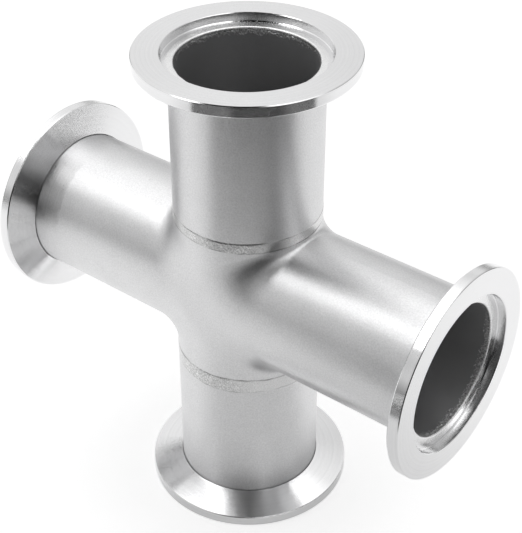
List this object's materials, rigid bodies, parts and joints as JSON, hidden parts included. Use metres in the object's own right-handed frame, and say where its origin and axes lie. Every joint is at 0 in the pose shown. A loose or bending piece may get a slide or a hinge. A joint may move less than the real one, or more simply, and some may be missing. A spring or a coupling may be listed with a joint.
{
  "type": "four-way cross",
  "caption": "Four-way vacuum cross of stainless tube: drawn collars, butt-welded branch tubes, and a tapered clamp flange with a recess for the centring ring on every port.",
  "frame": {"origin": "crossing of the run's axis and the branches' axis, the middle of the part", "axes": "+X along the run towards the right port, +Z along the branches towards the top port, -Y towards the side that the picture shows; stands on the bottom port's face"},
  "size_m": [0.13, 0.055, 0.13],
  "materials": {
    "tube": "satin drawn tube",
    "flange": "fine turned",
    "weld": "as welded, brushed"
  },
  "bodies": {
    "root": {"run_tube": "tube", "top_branch_tube": "tube", "bottom_branch_tube": "tube", "top_flange": "flange", "bottom_flange": "flange", "left_flange": "flange", "right_flange": "flange", "top_branch_weld": "weld", "bottom_branch_weld": "weld", "top_flange_weld": "weld", "bottom_flange_weld": "weld", "left_flange_weld": "weld", "right_flange_weld": "weld"}
  },
  "joints": []
}
